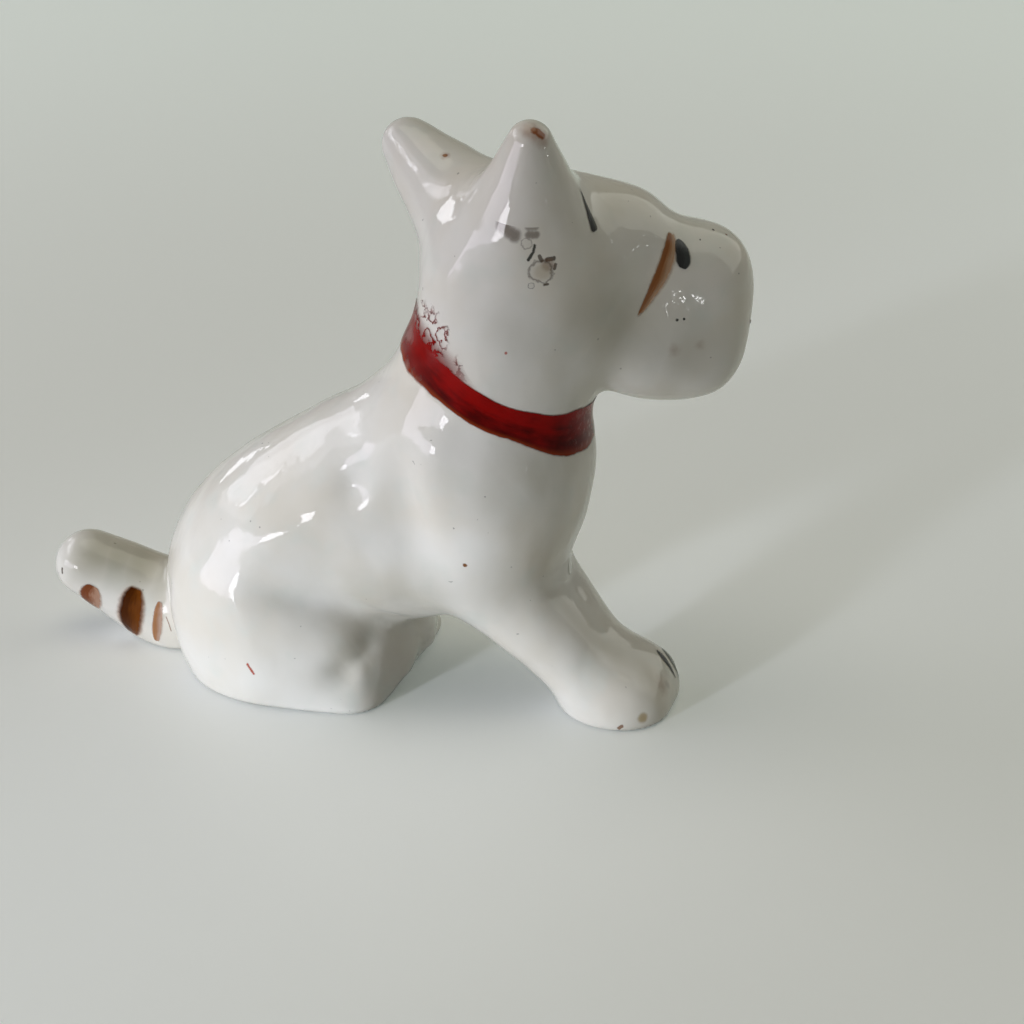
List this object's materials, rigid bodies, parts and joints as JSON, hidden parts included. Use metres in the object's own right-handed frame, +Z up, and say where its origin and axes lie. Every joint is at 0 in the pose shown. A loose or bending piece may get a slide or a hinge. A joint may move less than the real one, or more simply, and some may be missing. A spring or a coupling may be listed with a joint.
{
  "type": "porcelain dog figurine",
  "caption": "Small glazed white porcelain figurine of a sitting terrier with its head turned, a painted red collar and brushed brown and black marks.",
  "frame": {"origin": "middle of the figurine's box, on the surface that it sits on", "axes": "+X is the way the body faces, +Y its left side, +Z up"},
  "size_m": [0.0612, 0.0262, 0.0511],
  "materials": {
    "porcelain": "white porcelain under a clear, slightly wavy gloss glaze",
    "enamel_red": "deep red overglaze enamel, brushed on and fired",
    "enamel_black": "black overglaze enamel, brushed on and fired",
    "enamel_brown": "brown overglaze enamel, brushed on and fired"
  },
  "bodies": {
    "root": {"torso": "porcelain", "head": "porcelain", "ear_right": "porcelain", "ear_left": "porcelain", "foreleg_right": "porcelain", "foreleg_left": "porcelain", "haunch_right": "porcelain", "haunch_left": "porcelain", "tail": "porcelain", "collar_band": "enamel_red", "eye_right": "enamel_black", "eye_left": "enamel_black", "ear_line_right": "enamel_black", "ear_line_left": "enamel_black", "nose": "enamel_black", "claw_line_1": "enamel_black", "claw_line_2": "enamel_black", "claw_line_3": "enamel_black", "brow_right": "enamel_brown", "brow_left": "enamel_brown", "mouth_line": "enamel_brown", "tail_stripe_1": "enamel_brown", "tail_stripe_2": "enamel_brown", "tail_stripe_3": "enamel_brown"}
  },
  "joints": []
}
